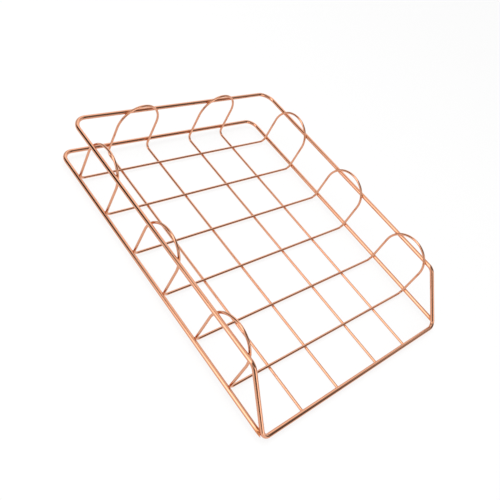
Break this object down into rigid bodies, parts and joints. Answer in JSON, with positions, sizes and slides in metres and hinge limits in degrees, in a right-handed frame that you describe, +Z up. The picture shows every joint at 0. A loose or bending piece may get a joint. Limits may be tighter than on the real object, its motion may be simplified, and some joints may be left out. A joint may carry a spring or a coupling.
{
  "type": "wire document tray",
  "caption": "Open-front desk tray bent from round wire, with low walls, a grid floor and wire arches rising over the rails, for holding sheets of paper.",
  "frame": {"origin": "on the table, under the middle of the tray's length and width", "axes": "+Z up, +Y from the low open front towards the back wall, +X to the right seen from the front"},
  "size_m": [0.2538, 0.3034, 0.0586],
  "materials": {
    "rose_gold_plating": "polished rose-gold plating over steel wire"
  },
  "bodies": {
    "root": {"top_frame": "rose_gold_plating", "base_frame": "rose_gold_plating", "cross_loop_front": "rose_gold_plating", "cross_loop_middle": "rose_gold_plating", "cross_loop_rear": "rose_gold_plating", "floor_hairpin_left": "rose_gold_plating", "floor_hairpin_right": "rose_gold_plating"}
  },
  "joints": []
}
